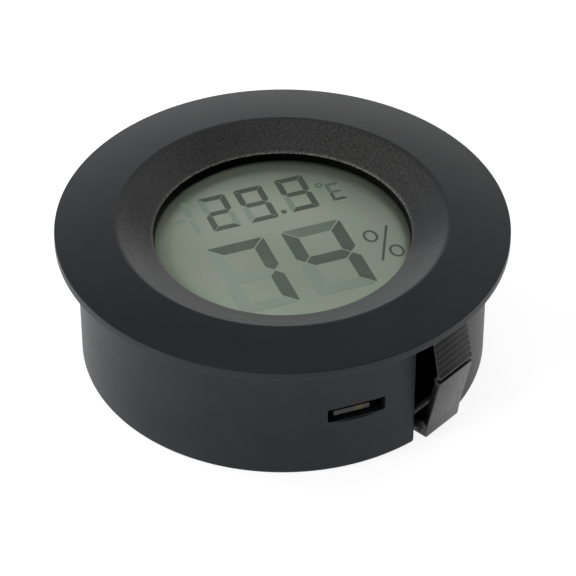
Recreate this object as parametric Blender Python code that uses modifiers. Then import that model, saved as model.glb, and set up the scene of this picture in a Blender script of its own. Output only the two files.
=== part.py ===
"""Round panel-mount digital thermo-hygrometer: a 46.5 mm flange on a 42 mm body, 16 mm deep.

The rear face rests on z = 0 and the display looks up, along +Z. The top of the display
(12 o'clock) is +Y. The body goes through a 42 mm hole in a panel up to the underside of the
flange, and two spring clips at the sides hold it there.
"""
import math

import bmesh
import bpy
from mathutils import Matrix, Vector

MM = 0.001
GAP = 0.3 * MM                     # clearance between neighbouring pieces
FILM_GAP = 0.1 * MM                # clearance between the flat layers of the display

# Housing: flange, dish and side wall
FLANGE_RADIUS = 23.25 * MM
BODY_RADIUS = 21.0 * MM
WALL_INNER_RADIUS = 19.8 * MM
TOTAL_HEIGHT = 16.0 * MM
RIDGE_RADIUS = 17.1 * MM
RIM_TOP_Z = 15.25 * MM
FLANGE_UNDER_Z = 14.35 * MM
LIP_RADIUS = 13.2 * MM
LIP_Z = 14.15 * MM
WINDOW_RADIUS = 13.05 * MM
CEILING_Z = 13.35 * MM             # underside of the plate around the window
POCKET_CEILING_Z = 14.3 * MM       # underside of the flange inside the wall
POCKET_INNER_RADIUS = 17.2 * MM
ROUND_STEPS = 72

# Sensor slot through the wall at 6 o'clock
SLOT_WIDTH = 6.1 * MM
SLOT_LOW_Z = 6.45 * MM
SLOT_HIGH_Z = 8.1 * MM
NOSE_LOW_X = -2.55 * MM            # the sensor's nose stands in the slot, from here
NOSE_HIGH_X = 1.55 * MM
NOSE_FRONT_Y = -20.5 * MM
SENSOR_HALF_X = 2.6 * MM
SENSOR_FRONT_Y = -19.4 * MM
SENSOR_BACK_Y = -18.7 * MM

# Spring clips, at this angle from 6 o'clock towards 3 o'clock, and opposite it
CLIP_ANGLE = math.radians(27.5)
CLIP_WIDTH = 5.0 * MM
CLIP_TOP_Z = 13.8 * MM
CLIP_TOP_RADIUS = 22.2 * MM
BARB_RADIUS = 23.2 * MM
BARB_Z = 9.1 * MM
CLIP_THICKNESS = 1.2 * MM
RIB_COUNT = 7
RIB_DEPTH = 0.16 * MM
PIVOT_RADIUS = 19.9 * MM           # where the clip flexes, measured from the middle of the body
PIVOT_Z = 1.2 * MM
BEAD_RADIUS = 0.8 * MM
NOTCH_WIDTH = 6.9 * MM
NOTCH_TOP_Z = 14.0 * MM

# Screw bosses for the rear cover
BOSS_DISTANCE = 17.2 * MM
BOSS_ANGLES = (-4, 84, 184)        # degrees from 3 o'clock, clear of the clips and the button
BOSS_PLACES = [(BOSS_DISTANCE * math.cos(math.radians(angle)), BOSS_DISTANCE * math.sin(math.radians(angle)))
               for angle in BOSS_ANGLES]
BOSS_RADIUS = 1.9 * MM
PILOT_RADIUS = 0.85 * MM
SCREW_RADIUS = 0.55 * MM
SCREW_HEAD_RADIUS = 1.5 * MM

# Display layers, from the front
LAYERS_TOP_Z = 13.15 * MM
POLARIZER_THICKNESS = 0.2 * MM
GLASS_THICKNESS = 0.6 * MM
REFLECTOR_THICKNESS = 0.25 * MM
GLASS_HALF_WIDTH = 13.7 * MM
GLASS_CORNER = 4.0 * MM
LEDGE_LOW_Y = -15.0 * MM           # the front glass runs on past the rear one, to its contacts
LEDGE_HALF_WIDTH = 8.5 * MM

# Display frame and circuit board
FRAME_RADIUS = 17.9 * MM
FRAME_LOW_Z = 9.8 * MM
FRAME_SHELF_Z = 11.1 * MM
FRAME_TOP_Z = 12.2 * MM
STRIP_HALF_X = 8.0 * MM
STRIP_FRONT_Y = -14.85 * MM
STRIP_BACK_Y = -13.85 * MM
BOARD_RADIUS = 18.4 * MM
BOARD_LOW_Z = 8.6 * MM
BOARD_TOP_Z = 9.4 * MM
BOARD_SCREWS = ((12.2 * MM, 10.2 * MM), (-12.2 * MM, -10.2 * MM))
BOARD_HOLE_RADIUS = 0.75 * MM

# Rear cover, with the battery tray
COVER_RADIUS = 19.5 * MM
COVER_THICKNESS = 2.0 * MM
TRAY_HALF_X = 13.3 * MM
TRAY_HALF_Y = 7.2 * MM
TRAY_TOP_Z = 8.3 * MM
TRAY_CEILING_Z = 7.5 * MM
TRAY_WALL = 0.8 * MM
TRAY_CORNER = 6.5 * MM
CELL_RADIUS = 5.8 * MM
CELL_HEIGHT = 5.4 * MM
CELL_X = 6.1 * MM
CELL_LOW_Z = 1.5 * MM

# Battery door
DOOR_HALF_X = 13.3 * MM
DOOR_HALF_Y = 7.0 * MM
DOOR_LOW_Z = 0.1 * MM
DOOR_TOP_Z = 1.0 * MM
DOOR_TRAVEL = 2.5 * MM
DOOR_TAB_X = 7.0 * MM
DOOR_CORNER = 1.0 * MM
GRIP_COUNT = 4
GRIP_PITCH = 0.9 * MM
GRIP_HALF_X = 4.0 * MM
GRIP_DEPTH = 0.25 * MM

# Unit button, which presses the switch on the board
BUTTON_PLACE = (-7.5 * MM, -12.8 * MM)
BUTTON_RADIUS = 1.5 * MM
BUTTON_LOW_Z = 0.35 * MM
BUTTON_TOP_Z = 6.0 * MM
SWITCH_LOW_Z = 6.6 * MM

BLACK_PLASTIC = (0.020, 0.020, 0.022)
STEEL = (0.62, 0.62, 0.60)


def clear_scene():
    """Remove everything that the start-up file brings."""
    for item in list(bpy.data.objects):
        bpy.data.objects.remove(item, do_unlink=True)


def new_collection(name):
    """A collection linked to the scene."""
    group = bpy.data.collections.new(name)
    bpy.context.scene.collection.children.link(group)
    return group


clear_scene()
PARTS = new_collection("panel_hygrometer")
CUTTERS = new_collection("cutters")


def principled(name, colour, roughness, metallic=0.0):
    """A plain Principled material."""
    material = bpy.data.materials.new(name)
    material.use_nodes = True
    shader = material.node_tree.nodes["Principled BSDF"]
    shader.inputs["Base Color"].default_value = (*colour, 1.0)
    shader.inputs["Roughness"].default_value = roughness
    shader.inputs["Metallic"].default_value = metallic
    return material


def add_part(name, mesh, colour, roughness, metallic=0.0):
    """A named part with its own material."""
    part = bpy.data.objects.new(name, mesh)
    PARTS.objects.link(part)
    mesh.materials.clear()
    mesh.materials.append(principled(name, colour, roughness, metallic))
    return part


def as_cutter(mesh):
    """A wire-drawn helper that only cuts or joins."""
    cutter = bpy.data.objects.new("cutter", mesh)
    CUTTERS.objects.link(cutter)
    cutter.hide_render = True
    cutter.display_type = "WIRE"
    return cutter


def boolean(part, mesh, operation="DIFFERENCE"):
    """Cut the part with a closed mesh, or join the mesh to it."""
    step = part.modifiers.new(operation.title(), "BOOLEAN")
    step.operation = operation
    step.object = as_cutter(mesh)
    return step


def smooth(part, degrees=35.0):
    """Smooth shading, with the sharp edges kept."""
    part.data.shade_smooth()
    part.data.set_sharp_from_angle(angle=math.radians(degrees))
    return part


def box_mesh(low, high):
    """A box between two corners."""
    low, high = Vector(low), Vector(high)
    shape = bmesh.new()
    bmesh.ops.create_cube(shape, size=1.0)
    size = high - low
    bmesh.ops.scale(shape, vec=size, verts=shape.verts)
    bmesh.ops.translate(shape, vec=(low + high) / 2, verts=shape.verts)
    mesh = bpy.data.meshes.new("box")
    shape.to_mesh(mesh)
    shape.free()
    return mesh


def cylinder_mesh(place, radius, low_z, high_z, sides):
    """An upright cylinder."""
    shape = bmesh.new()
    bmesh.ops.create_cone(shape, cap_ends=True, segments=sides, radius1=radius, radius2=radius,
                          depth=high_z - low_z)
    bmesh.ops.translate(shape, vec=(place[0], place[1], (low_z + high_z) / 2), verts=shape.verts)
    mesh = bpy.data.meshes.new("cylinder")
    shape.to_mesh(mesh)
    shape.free()
    return mesh


def screw_turn(part, steps):
    """Turn a profile about Z into a closed solid."""
    turn = part.modifiers.new("Screw", "SCREW")
    turn.angle = 2 * math.pi
    turn.steps = steps
    turn.render_steps = steps
    turn.use_merge_vertices = True
    turn.merge_threshold = 0.00001
    turn.use_smooth_shade = True
    return turn


def profile_mesh(points, closed):
    """An outline of edges in the XZ plane, its outer side running down."""
    shape = bmesh.new()
    corners = [shape.verts.new((radius, 0.0, height)) for radius, height in points]
    for first, second in zip(corners, corners[1:]):
        shape.edges.new((first, second))
    if closed:
        shape.edges.new((corners[-1], corners[0]))
    mesh = bpy.data.meshes.new("profile")
    shape.to_mesh(mesh)
    shape.free()
    return mesh


def turned_part(name, points, colour, roughness, metallic=0.0, closed=False, steps=32, place=(0, 0)):
    """A turned piece, from its profile, its first facet facing +X."""
    part = add_part(name, profile_mesh(points, closed), colour, roughness, metallic)
    part.location = (place[0], place[1], 0.0)
    part.rotation_euler = (0.0, 0.0, math.pi / steps)
    screw_turn(part, steps)
    return smooth(part)


def outline_mesh(points, low, high):
    """A closed flat outline, thickened from low to high along its normal."""
    curve = bpy.data.curves.new("outline", "CURVE")
    curve.dimensions = "2D"
    curve.fill_mode = "BOTH"
    curve.extrude = (high - low) / 2
    spline = curve.splines.new("POLY")
    spline.points.add(len(points) - 1)
    for knot, (across, along) in zip(spline.points, points):
        knot.co = (across, along, 0.0, 1.0)
    spline.use_cyclic_u = True
    guide = bpy.data.objects.new("outline", curve)
    PARTS.objects.link(guide)
    bpy.context.view_layer.update()
    evaluated = guide.evaluated_get(bpy.context.evaluated_depsgraph_get())
    mesh = bpy.data.meshes.new_from_object(evaluated)
    bpy.data.objects.remove(guide, do_unlink=True)
    shape = bmesh.new()
    shape.from_mesh(mesh)
    bmesh.ops.remove_doubles(shape, verts=shape.verts, dist=0.000001)
    bmesh.ops.translate(shape, vec=(0.0, 0.0, (low + high) / 2), verts=shape.verts)
    bmesh.ops.recalc_face_normals(shape, faces=shape.faces)
    bmesh.ops.dissolve_limit(shape, angle_limit=0.001, verts=shape.verts, edges=shape.edges)
    shape.to_mesh(mesh)
    shape.free()
    return mesh


def rounded_rectangle(low, high, radius, steps=6):
    """Corner-rounded rectangle, anticlockwise."""
    centres = ((high[0] - radius, high[1] - radius, 0), (low[0] + radius, high[1] - radius, 90),
               (low[0] + radius, low[1] + radius, 180), (high[0] - radius, low[1] + radius, 270))
    points = []
    for across, along, start in centres:
        for step in range(steps + 1):
            turn = math.radians(start + 90.0 * step / steps)
            points.append((across + radius * math.cos(turn), along + radius * math.sin(turn)))
    return points


def clip_frame(angle):
    """Place for a clip at an angle from 6 o'clock: X outwards, Y up, Z along the flexing axis."""
    outward = Vector((math.sin(angle), -math.cos(angle), 0.0))
    up = Vector((0.0, 0.0, 1.0))
    along = outward.cross(up)
    turn = Matrix((outward, up, along)).transposed().to_4x4()
    return Matrix.Translation(outward * PIVOT_RADIUS + up * PIVOT_Z) @ turn


def placed(mesh, frame):
    """The mesh moved into a clip's place."""
    mesh.transform(frame)
    return mesh


def housing():
    """Flange, dish and side wall in one moulding, with the sensor slot and the clip notches."""
    edge = 0.2 * MM
    profile = [
        (RIDGE_RADIUS, TOTAL_HEIGHT),
        (RIDGE_RADIUS + 0.5 * MM, TOTAL_HEIGHT - 0.03 * MM),
        (FLANGE_RADIUS - edge, RIM_TOP_Z + 0.04 * MM),
        (FLANGE_RADIUS, RIM_TOP_Z - edge),
        (FLANGE_RADIUS, FLANGE_UNDER_Z + edge),
        (FLANGE_RADIUS - edge, FLANGE_UNDER_Z),
        (BODY_RADIUS, FLANGE_UNDER_Z),
        (BODY_RADIUS, edge),
        (BODY_RADIUS - edge, 0.0),
        (WALL_INNER_RADIUS, 0.0),
        (WALL_INNER_RADIUS, POCKET_CEILING_Z),
        (POCKET_INNER_RADIUS, POCKET_CEILING_Z),
        (POCKET_INNER_RADIUS, CEILING_Z),
        (WINDOW_RADIUS, CEILING_Z),
        (LIP_RADIUS, LIP_Z),
        (RIDGE_RADIUS - 0.7 * MM, TOTAL_HEIGHT - 0.18 * MM),
        (RIDGE_RADIUS - 0.3 * MM, TOTAL_HEIGHT - 0.03 * MM),
    ]
    part = turned_part("front_housing", profile, BLACK_PLASTIC, 0.42, closed=True, steps=ROUND_STEPS)
    for place in BOSS_PLACES:
        boss = outline_mesh(boss_outline(place), COVER_THICKNESS + GAP, POCKET_CEILING_Z + GAP)
        boolean(part, boss, "UNION")
        boolean(part, cylinder_mesh(place, PILOT_RADIUS, COVER_THICKNESS - GAP, 9.0 * MM, 16))
    slot_low = (-SLOT_WIDTH / 2, -BODY_RADIUS - 1 * MM, SLOT_LOW_Z)
    slot_high = (SLOT_WIDTH / 2, -WALL_INNER_RADIUS + 2 * MM, SLOT_HIGH_Z)
    boolean(part, box_mesh(slot_low, slot_high))
    for angle in (CLIP_ANGLE, CLIP_ANGLE + math.pi):
        notch = box_mesh((-1.4 * MM, -3 * MM, -NOTCH_WIDTH / 2),
                         (3 * MM, NOTCH_TOP_Z - PIVOT_Z, NOTCH_WIDTH / 2))
        boolean(part, placed(notch, clip_frame(angle)))
    return part


def boss_outline(place, margin=0.0):
    """A screw boss seen along its axis: round towards the middle, and run out into the side wall."""
    centre = Vector(place)
    outward = centre.normalized()
    side = Vector((-outward.y, outward.x))
    radius = BOSS_RADIUS + margin
    points = []
    for step in range(9):
        turn = math.radians(-90.0 + 180.0 * step / 8)
        points.append(centre + (side * math.sin(turn) - outward * math.cos(turn)) * radius)
    wall = outward * (WALL_INNER_RADIUS + 0.6 * MM)
    points += [wall + side * radius, wall - side * radius]
    return [tuple(point) for point in points]


def glass_outline(margin, low_y=None, low_half_width=None):
    """Square with cut corners; a front glass also has a contact ledge at its lower edge."""
    half = GLASS_HALF_WIDTH + margin
    cut = half - GLASS_CORNER
    if low_y is None:
        bottom = [(-half, -cut), (-cut, -half), (cut, -half), (half, -cut)]
    else:
        low, width = low_y - margin, low_half_width + margin / 2
        shoulder = low + (half - width)
        bottom = [(-half, shoulder), (-width, low), (width, low), (half, shoulder)]
    return bottom + [(half, cut), (cut, half), (-cut, half), (-half, cut)]


def display_stack():
    """Polarizing film, two glass plates and reflector, one behind the other."""
    with_ledge = (LEDGE_LOW_Y, LEDGE_HALF_WIDTH)
    layers = (
        ("front_polarizer", POLARIZER_THICKNESS, -0.3 * MM, (), (0.17, 0.19, 0.16), 0.35),
        ("lcd_front_glass", GLASS_THICKNESS, 0.0, with_ledge, (0.55, 0.60, 0.57), 0.08),
        ("lcd_rear_glass", GLASS_THICKNESS, 0.0, (), (0.55, 0.60, 0.57), 0.08),
        ("rear_reflector", REFLECTOR_THICKNESS, -0.3 * MM, (), (0.45, 0.47, 0.42), 0.5),
    )
    high = LAYERS_TOP_Z
    for name, thickness, margin, ledge, colour, roughness in layers:
        low = high - thickness
        add_part(name, outline_mesh(glass_outline(margin, *ledge), low, high), colour, roughness)
        high = low - FILM_GAP


def display_frame():
    """Plastic frame that presses the glass against the housing and guides the contact strip."""
    part = add_part("display_frame", cylinder_mesh((0, 0), FRAME_RADIUS, FRAME_LOW_Z, FRAME_TOP_Z, 48),
                    (0.75, 0.75, 0.72), 0.5)
    smooth(part)
    pocket = outline_mesh(glass_outline(GAP, LEDGE_LOW_Y, LEDGE_HALF_WIDTH),
                          FRAME_SHELF_Z, FRAME_TOP_Z + 1 * MM)
    boolean(part, pocket)
    boolean(part, box_mesh((-9 * MM, -9 * MM, FRAME_LOW_Z - 1 * MM), (9 * MM, 9 * MM, FRAME_TOP_Z)))
    boolean(part, box_mesh((-STRIP_HALF_X - GAP, STRIP_FRONT_Y - 0.25 * MM, FRAME_LOW_Z - 1 * MM),
                           (STRIP_HALF_X + GAP, STRIP_BACK_Y + 0.5 * MM, FRAME_TOP_Z)))
    for place in BOSS_PLACES:
        boolean(part, outline_mesh(boss_outline(place, GAP), FRAME_LOW_Z - 1 * MM, FRAME_TOP_Z + 1 * MM))
    for place in BOARD_SCREWS:
        boolean(part, cylinder_mesh(place, BOARD_HOLE_RADIUS, FRAME_LOW_Z - 1 * MM, FRAME_TOP_Z, 12))
    return part


def contact_strip():
    """Rubber strip of conducting and insulating layers, from the board up to the glass ledge."""
    glass_under = LAYERS_TOP_Z - POLARIZER_THICKNESS - GLASS_THICKNESS - FILM_GAP
    mesh = box_mesh((-STRIP_HALF_X, STRIP_FRONT_Y, BOARD_TOP_Z + FILM_GAP),
                    (STRIP_HALF_X, STRIP_BACK_Y, glass_under - FILM_GAP))
    add_part("contact_strip", mesh, (0.08, 0.08, 0.09), 0.7)


def circuit_board():
    """Round board with hollows for the bosses and holes for its screws."""
    part = add_part("circuit_board", cylinder_mesh((0, 0), BOARD_RADIUS, BOARD_LOW_Z, BOARD_TOP_Z, 48),
                    (0.03, 0.16, 0.07), 0.35)
    smooth(part)
    for place in BOSS_PLACES:
        boolean(part, outline_mesh(boss_outline(place, GAP), BOARD_LOW_Z - 1 * MM, BOARD_TOP_Z + 1 * MM))
    for place in BOARD_SCREWS:
        boolean(part, cylinder_mesh(place, BOARD_HOLE_RADIUS, BOARD_LOW_Z - 1 * MM, BOARD_TOP_Z + 1 * MM, 12))


def board_components():
    """What is soldered to the underside of the board."""
    under = BOARD_LOW_Z - FILM_GAP
    blob = [(0.0, under)]
    for step in range(5):
        turn = math.radians(90.0 * step / 4)
        blob.append((3.2 * MM * math.cos(turn), under - 1.0 * MM * math.sin(turn)))
    blob[-1] = (0.0, under - 1.0 * MM)
    turned_part("controller_blob", blob, (0.01, 0.01, 0.012), 0.3, steps=24,
                place=(5.5 * MM, 11.2 * MM))
    plate = box_mesh((-SENSOR_HALF_X, SENSOR_FRONT_Y, SLOT_LOW_Z - GAP),
                     (SENSOR_HALF_X, SENSOR_BACK_Y, under))
    sensor = add_part("humidity_sensor", plate, (0.60, 0.58, 0.48), 0.6)
    nose = box_mesh((NOSE_LOW_X, NOSE_FRONT_Y, SLOT_LOW_Z + GAP),
                    (NOSE_HIGH_X, SENSOR_FRONT_Y + GAP, SLOT_HIGH_Z - GAP))
    boolean(sensor, nose, "UNION")
    bead = [(0.0, under - 0.2 * MM), (0.4 * MM, under - 0.3 * MM), (0.6 * MM, under - 0.9 * MM),
            (0.4 * MM, under - 1.5 * MM), (0.0, under - 1.6 * MM)]
    turned_part("thermistor", bead, (0.02, 0.02, 0.02), 0.25, steps=16, place=(5.2 * MM, -16.2 * MM))
    crystal = cylinder_mesh((0, 0), 0.75 * MM, -2.6 * MM, 2.6 * MM, 16)
    crystal.transform(Matrix.Rotation(math.radians(90), 4, "Y"))
    can = add_part("crystal", crystal, STEEL, 0.25, 1.0)
    can.location = (-4.0 * MM, 10.2 * MM, under - 0.85 * MM)
    smooth(can)
    chips = (("capacitor_1", (8.6 * MM, -11.2 * MM), (0.42, 0.30, 0.16)),
             ("capacitor_2", (5.4 * MM, -10.2 * MM), (0.42, 0.30, 0.16)),
             ("resistor_1", (2.2 * MM, -11.2 * MM), (0.02, 0.02, 0.02)),
             ("resistor_2", (-1.0 * MM, -11.2 * MM), (0.02, 0.02, 0.02)))
    for name, (across, along), colour in chips:
        mesh = box_mesh((across - 0.8 * MM, along - 0.4 * MM, under - 0.6 * MM),
                        (across + 0.8 * MM, along + 0.4 * MM, under))
        add_part(name, mesh, colour, 0.5)
    push = cylinder_mesh(BUTTON_PLACE, 1.0 * MM, SWITCH_LOW_Z, under - 0.5 * MM, 16)
    base = box_mesh((BUTTON_PLACE[0] - 2.2 * MM, BUTTON_PLACE[1] - 2.2 * MM, SWITCH_LOW_Z + 0.5 * MM),
                    (BUTTON_PLACE[0] + 2.2 * MM, BUTTON_PLACE[1] + 2.2 * MM, under))
    switch = add_part("unit_switch", base, (0.55, 0.55, 0.55), 0.35, 0.8)
    boolean(switch, push, "UNION")


def screws():
    """Three screws in the rear cover and two in the board, their heads to the rear."""
    for number, place in enumerate(BOSS_PLACES, 1):
        profile = [(0.0, 7.5 * MM), (SCREW_RADIUS, 7.0 * MM), (SCREW_RADIUS, 0.9 * MM),
                   (SCREW_HEAD_RADIUS, 0.8 * MM), (SCREW_HEAD_RADIUS, 0.25 * MM),
                   (SCREW_HEAD_RADIUS - 0.3 * MM, 0.1 * MM), (0.0, 0.1 * MM)]
        turned_part(f"cover_screw_{number}", profile, STEEL, 0.3, 1.0, steps=24, place=place)
    for number, place in enumerate(BOARD_SCREWS, 1):
        profile = [(0.0, 10.7 * MM), (0.4 * MM, 10.4 * MM), (0.4 * MM, 8.5 * MM),
                   (1.1 * MM, 8.4 * MM), (1.1 * MM, 7.95 * MM), (0.8 * MM, 7.8 * MM), (0.0, 7.8 * MM)]
        turned_part(f"board_screw_{number}", profile, STEEL, 0.3, 1.0, steps=20, place=place)


def rear_cover():
    """Round cover with the battery tray, the door's recess and the button's hole."""
    part = add_part("rear_cover", cylinder_mesh((0, 0), COVER_RADIUS, 0.0, COVER_THICKNESS, ROUND_STEPS),
                    BLACK_PLASTIC, 0.45)
    smooth(part)
    tray = outline_mesh(rounded_rectangle((-TRAY_HALF_X, -TRAY_HALF_Y), (TRAY_HALF_X, TRAY_HALF_Y),
                                          TRAY_CORNER), COVER_THICKNESS / 2, TRAY_TOP_Z)
    boolean(part, tray, "UNION")
    for side in (-1, 1):
        middle = side * DOOR_TAB_X
        boolean(part, box_mesh((middle - 1.5 * MM, DOOR_HALF_Y - 2 * MM, 0.5 * MM),
                               (middle + 1.5 * MM, DOOR_HALF_Y + 1.5 * MM, DOOR_TOP_Z + 0.45 * MM)))
    recess = outline_mesh(rounded_rectangle(
        (-DOOR_HALF_X - GAP, -DOOR_HALF_Y - GAP - DOOR_TRAVEL), (DOOR_HALF_X + GAP, DOOR_HALF_Y + GAP),
        DOOR_CORNER + GAP), -1 * MM, DOOR_TOP_Z + 0.2 * MM)
    boolean(part, recess)
    hollow = outline_mesh(rounded_rectangle((TRAY_WALL - TRAY_HALF_X, TRAY_WALL - TRAY_HALF_Y),
                                            (TRAY_HALF_X - TRAY_WALL, TRAY_HALF_Y - TRAY_WALL),
                                            TRAY_CORNER - 0.6 * MM), -1 * MM, TRAY_CEILING_Z)
    boolean(part, hollow)
    for side in (-1, 1):
        tail = side * CELL_X
        boolean(part, box_mesh((tail - 1.3 * MM, -0.45 * MM, TRAY_CEILING_Z - 1 * MM),
                               (tail + 1.3 * MM, 0.45 * MM, TRAY_TOP_Z + 1 * MM)))
    for place in BOSS_PLACES:
        boolean(part, cylinder_mesh(place, SCREW_HEAD_RADIUS + GAP, -1 * MM, 1.1 * MM, 24))
        boolean(part, cylinder_mesh(place, PILOT_RADIUS, 0.5 * MM, COVER_THICKNESS + 1 * MM, 16))
    boolean(part, cylinder_mesh(BUTTON_PLACE, BUTTON_RADIUS + GAP, -1 * MM, COVER_THICKNESS + 1 * MM, 24))
    for angle in (CLIP_ANGLE, CLIP_ANGLE + math.pi):
        pocket = box_mesh((-1.2 * MM, -3 * MM, -CLIP_WIDTH / 2 - GAP),
                          (3 * MM, 3 * MM, CLIP_WIDTH / 2 + GAP))
        boolean(part, placed(pocket, clip_frame(angle)))
    return part


def battery_door():
    """Sliding door with two tabs at its upper edge and grip ribs at its lower edge."""
    outline = rounded_rectangle((-DOOR_HALF_X, -DOOR_HALF_Y), (DOOR_HALF_X, DOOR_HALF_Y), DOOR_CORNER)
    part = add_part("battery_door", outline_mesh(outline, DOOR_LOW_Z, DOOR_TOP_Z), BLACK_PLASTIC, 0.45)
    for side in (-1, 1):
        middle = side * DOOR_TAB_X
        boolean(part, box_mesh((middle - 1.2 * MM, DOOR_HALF_Y - 1 * MM, 0.75 * MM),
                               (middle + 1.2 * MM, DOOR_HALF_Y + 1.2 * MM, DOOR_TOP_Z - 0.02 * MM)),
                "UNION")
    for number in range(GRIP_COUNT):
        along = -DOOR_HALF_Y + DOOR_CORNER + (number + 0.2) * GRIP_PITCH
        boolean(part, box_mesh((-GRIP_HALF_X, along - 0.2 * MM, -1 * MM),
                               (GRIP_HALF_X, along + 0.2 * MM, DOOR_LOW_Z + GRIP_DEPTH)))
    return part


def cells_and_contacts():
    """Two button cells side by side, the contacts above them and the bridge on the door."""
    for number, side in ((1, -1), (2, 1)):
        top = CELL_LOW_Z + CELL_HEIGHT
        edge = 0.4 * MM
        profile = [(0.0, top), (CELL_RADIUS - 1.2 * MM, top), (CELL_RADIUS - 1.2 * MM, top - edge),
                   (CELL_RADIUS, top - edge), (CELL_RADIUS, CELL_LOW_Z + edge),
                   (CELL_RADIUS - edge, CELL_LOW_Z), (0.0, CELL_LOW_Z)]
        turned_part(f"button_cell_{number}", profile, STEEL, 0.22, 1.0, steps=40,
                    place=(side * CELL_X, 0.0))
        low, high = CELL_LOW_Z + CELL_HEIGHT + FILM_GAP, TRAY_CEILING_Z - 0.15 * MM
        middle = side * CELL_X
        name = "contact_negative" if side < 0 else "contact_positive"
        plate = box_mesh((middle - 3 * MM, -2.5 * MM, low), (middle + 3 * MM, 2.5 * MM, high))
        contact = add_part(name, plate, (0.65, 0.62, 0.52), 0.3, 1.0)
        tail = box_mesh((middle - 1 * MM, -0.12 * MM, low + 0.05 * MM),
                        (middle + 1 * MM, 0.12 * MM, BOARD_LOW_Z - FILM_GAP))
        boolean(contact, tail, "UNION")
    bridge = box_mesh((-9.5 * MM, -2.5 * MM, DOOR_TOP_Z + FILM_GAP),
                      (9.5 * MM, 2.5 * MM, CELL_LOW_Z - 0.15 * MM))
    add_part("contact_bridge", bridge, (0.65, 0.62, 0.52), 0.3, 1.0)


def unit_button():
    """Stepped push button, held in by its collar."""
    collar_low = COVER_THICKNESS + 0.1 * MM
    profile = [(0.0, BUTTON_TOP_Z), (BUTTON_RADIUS, BUTTON_TOP_Z), (BUTTON_RADIUS, collar_low + 0.7 * MM),
               (BUTTON_RADIUS + 0.7 * MM, collar_low + 0.7 * MM), (BUTTON_RADIUS + 0.7 * MM, collar_low),
               (BUTTON_RADIUS, collar_low), (BUTTON_RADIUS, BUTTON_LOW_Z + 0.2 * MM),
               (BUTTON_RADIUS - 0.2 * MM, BUTTON_LOW_Z), (0.0, BUTTON_LOW_Z)]
    turned_part("unit_button", profile, (0.06, 0.06, 0.065), 0.5, steps=32, place=BUTTON_PLACE)


def clip_outline():
    """Side view of a clip from its flexing axis: out is across, up is along."""
    top = (CLIP_TOP_RADIUS - PIVOT_RADIUS, CLIP_TOP_Z - PIVOT_Z)
    barb = (BARB_RADIUS - PIVOT_RADIUS, BARB_Z - PIVOT_Z)
    points = [top]
    for number in range(1, RIB_COUNT + 1):
        share = number / RIB_COUNT
        across = top[0] + (barb[0] - top[0]) * share
        along = top[1] + (barb[1] - top[1]) * share
        pitch = (top[1] - barb[1]) / RIB_COUNT
        points.append((across, along + 0.3 * pitch))
        if number < RIB_COUNT:
            points.append((across - RIB_DEPTH, along))
    points += [(barb[0], barb[1]), (barb[0] - 0.45 * MM, barb[1] - 0.05 * MM),
               (barb[0] - 0.45 * MM, barb[1] - 0.35 * MM), (barb[0], barb[1] - 0.4 * MM),
               (1.95 * MM, 1.0 * MM), (1.8 * MM, -0.2 * MM)]
    for step in range(5):
        turn = math.radians(-20.0 * step)
        points.append((1.1 * MM + 0.6 * MM * math.cos(turn), -0.3 * MM + 0.55 * MM * math.sin(turn)))
    for step in range(7):
        turn = math.radians(270.0 - 30.0 * step)
        points.append((BEAD_RADIUS * math.cos(turn), BEAD_RADIUS * math.sin(turn)))
    points += [(0.6 * MM, 0.95 * MM), (barb[0] - CLIP_THICKNESS, barb[1]),
               (top[0] - CLIP_THICKNESS, top[1])]
    return points


def spring_clips():
    """Two clips, each with its origin on the axis where it flexes."""
    for name, angle in (("spring_clip_right", CLIP_ANGLE), ("spring_clip_left", CLIP_ANGLE + math.pi)):
        mesh = outline_mesh(clip_outline(), -CLIP_WIDTH / 2, CLIP_WIDTH / 2)
        part = add_part(name, mesh, BLACK_PLASTIC, 0.4)
        part.matrix_world = clip_frame(angle)


housing()
display_stack()
display_frame()
contact_strip()
circuit_board()
board_components()
screws()
rear_cover()
battery_door()
cells_and_contacts()
unit_button()
spring_clips()
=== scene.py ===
"""Looks of the round panel-mount thermo-hygrometer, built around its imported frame."""
import math

import bmesh
import bpy
from mathutils import Matrix, Vector


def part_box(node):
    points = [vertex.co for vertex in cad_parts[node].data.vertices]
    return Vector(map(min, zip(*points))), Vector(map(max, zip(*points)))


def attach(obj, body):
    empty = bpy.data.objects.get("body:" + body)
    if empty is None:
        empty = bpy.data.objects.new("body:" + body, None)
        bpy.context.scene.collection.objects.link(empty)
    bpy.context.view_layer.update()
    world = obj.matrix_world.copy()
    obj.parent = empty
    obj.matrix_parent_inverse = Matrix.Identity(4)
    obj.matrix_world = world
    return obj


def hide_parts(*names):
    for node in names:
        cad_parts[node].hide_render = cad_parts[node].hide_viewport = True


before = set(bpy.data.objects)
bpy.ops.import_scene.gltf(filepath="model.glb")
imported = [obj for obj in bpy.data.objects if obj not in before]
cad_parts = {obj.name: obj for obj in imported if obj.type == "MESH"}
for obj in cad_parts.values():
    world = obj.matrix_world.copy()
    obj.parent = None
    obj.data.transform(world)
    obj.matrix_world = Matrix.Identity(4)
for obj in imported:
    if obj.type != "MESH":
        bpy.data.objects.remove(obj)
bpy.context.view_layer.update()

MM = 0.001

# Driving sizes of the housing, which follow the frame
housing_low, housing_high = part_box("front_housing")
FLANGE_RADIUS = housing_high.x
TOP_Z = housing_high.z
BODY_RADIUS = 21.0 * MM
WALL_INNER_RADIUS = 19.8 * MM
FLANGE_UNDER_Z = 14.35 * MM
RIM_TOP_Z = 15.25 * MM
RIDGE_RADIUS = 17.1 * MM
LIP_RADIUS = 13.2 * MM
LIP_Z = 14.15 * MM
WINDOW_RADIUS = 13.05 * MM
CEILING_Z = 13.35 * MM
POCKET_CEILING_Z = 14.3 * MM
POCKET_INNER_RADIUS = 17.2 * MM
DISPLAY_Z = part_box("front_polarizer")[1].z

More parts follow.
